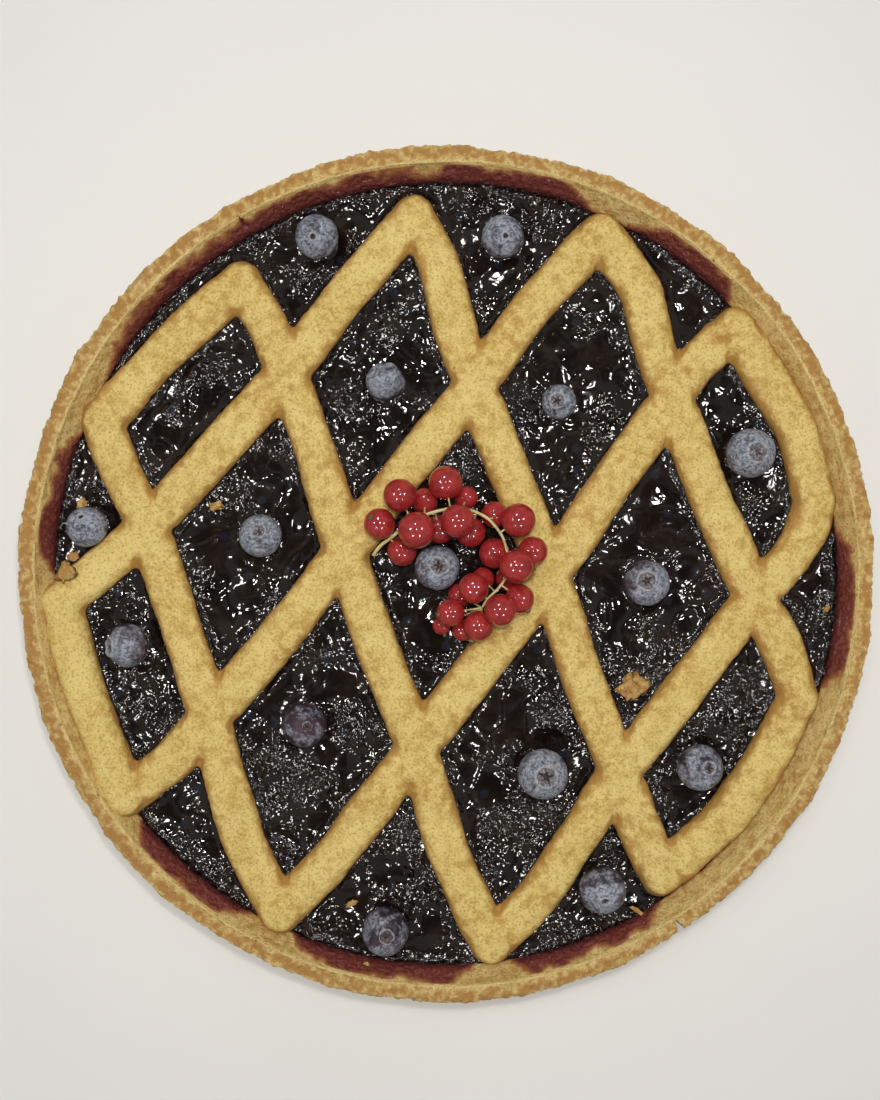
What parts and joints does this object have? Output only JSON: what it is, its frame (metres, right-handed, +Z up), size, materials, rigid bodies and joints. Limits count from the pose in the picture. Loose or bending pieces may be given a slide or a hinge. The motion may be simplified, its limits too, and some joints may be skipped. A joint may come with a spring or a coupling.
{
  "type": "berry tart",
  "caption": "Round fluted shortcrust tart filled with dark jam under a diamond pastry lattice, topped with single blueberries and a sprig of redcurrants.",
  "frame": {"origin": "middle of the tart's flat base, where it stands", "axes": "+Z up through the tart; +X to the right and +Y to the top of the tart as it is seen from straight above in the reference picture"},
  "size_m": [0.2795, 0.2798, 0.0435],
  "materials": {
    "shell_pastry": "baked, dry and crumbly",
    "strip_pastry": "baked, fine wholemeal flecks",
    "jam": "wet, glossy",
    "blueberry_skin": "waxy bloom",
    "currant_skin": "shiny, translucent",
    "stalk": "dry, smooth"
  },
  "bodies": {
    "root": {"crust": "shell_pastry", "filling": "jam", "lattice": "strip_pastry", "blueberry_01": "blueberry_skin", "blueberry_02": "blueberry_skin", "blueberry_03": "blueberry_skin", "blueberry_04": "blueberry_skin", "blueberry_05": "blueberry_skin", "blueberry_06": "blueberry_skin", "blueberry_07": "blueberry_skin", "blueberry_08": "blueberry_skin", "blueberry_09": "blueberry_skin", "blueberry_10": "blueberry_skin", "blueberry_11": "blueberry_skin", "blueberry_12": "blueberry_skin", "blueberry_13": "blueberry_skin", "blueberry_14": "blueberry_skin", "blueberry_15": "blueberry_skin", "currant_01": "currant_skin", "currant_02": "currant_skin", "currant_03": "currant_skin", "currant_04": "currant_skin", "currant_05": "currant_skin", "currant_06": "currant_skin", "currant_07": "currant_skin", "currant_08": "currant_skin", "currant_09": "currant_skin", "currant_10": "currant_skin", "currant_11": "currant_skin", "currant_12": "currant_skin", "currant_13": "currant_skin", "currant_14": "currant_skin", "currant_15": "currant_skin", "currant_16": "currant_skin", "currant_17": "currant_skin", "currant_18": "currant_skin", "currant_19": "currant_skin", "currant_20": "currant_skin", "currant_21": "currant_skin", "currant_22": "currant_skin", "currant_23": "currant_skin", "currant_24": "currant_skin", "currant_25": "currant_skin", "stalk": "stalk"}
  },
  "joints": []
}
